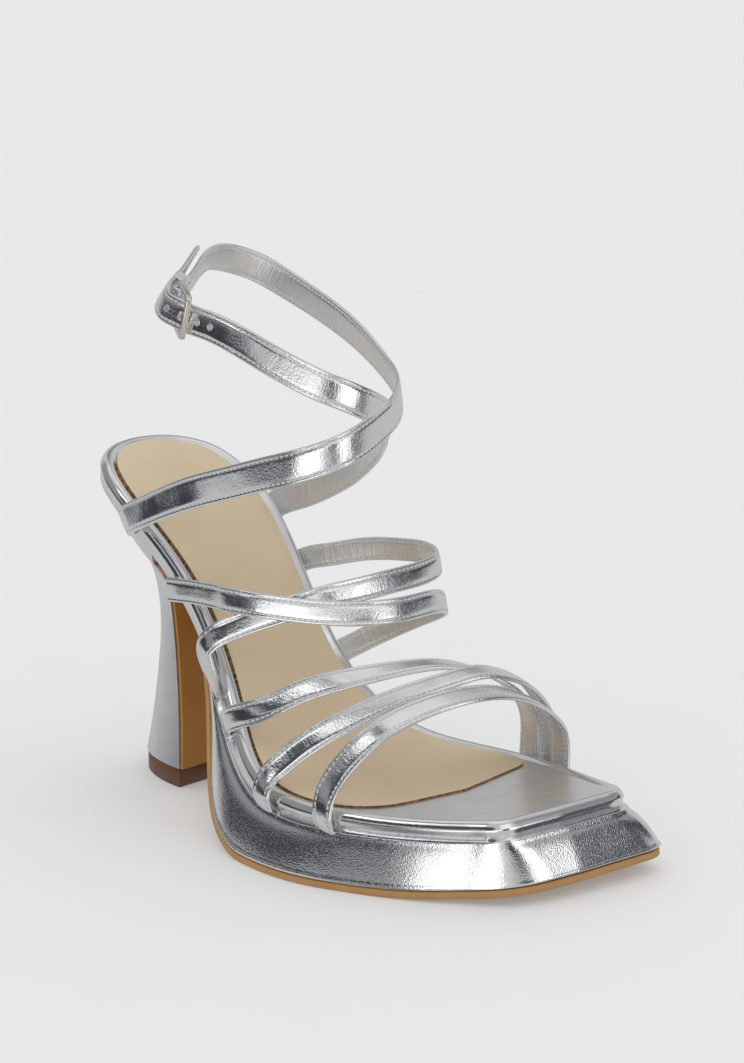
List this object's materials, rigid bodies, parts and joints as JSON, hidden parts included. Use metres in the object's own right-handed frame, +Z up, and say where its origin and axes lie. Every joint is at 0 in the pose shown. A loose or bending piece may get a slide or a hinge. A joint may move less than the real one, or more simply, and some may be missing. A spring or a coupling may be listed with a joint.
{
  "type": "leather sandal",
  "caption": "Right platform sandal of metallic leather with a square toe, crossing toe and instep straps, a buckled ankle strap and a flared block heel, to be worn on the foot.",
  "frame": {"origin": "on the floor, under the middle of the sandal's bounding box", "axes": "+Z up, the toe points along -Y, the outer side with the buckle is towards -X"},
  "size_m": [0.0982, 0.2084, 0.1881],
  "materials": {
    "silver_leather": "metallic silver foil on fine-grained leather",
    "sock_leather": "matt beige lining",
    "tan_sole": "matt tan",
    "tan_breast": "satin amber",
    "brown_top_piece": "satin brown",
    "nickel": "polished pale nickel"
  },
  "bodies": {
    "root": {"outsole": "tan_sole", "platform": "silver_leather", "footbed": "silver_leather", "insole_sock": "sock_leather", "heel_block": "silver_leather", "heel_breast_cover": "tan_breast", "heel_top_piece": "brown_top_piece", "toe_straps": "silver_leather", "instep_straps": "silver_leather", "ankle_straps": "silver_leather", "buckle_frame": "nickel", "buckle_prong": "nickel", "strap_keeper": "silver_leather"}
  },
  "joints": []
}
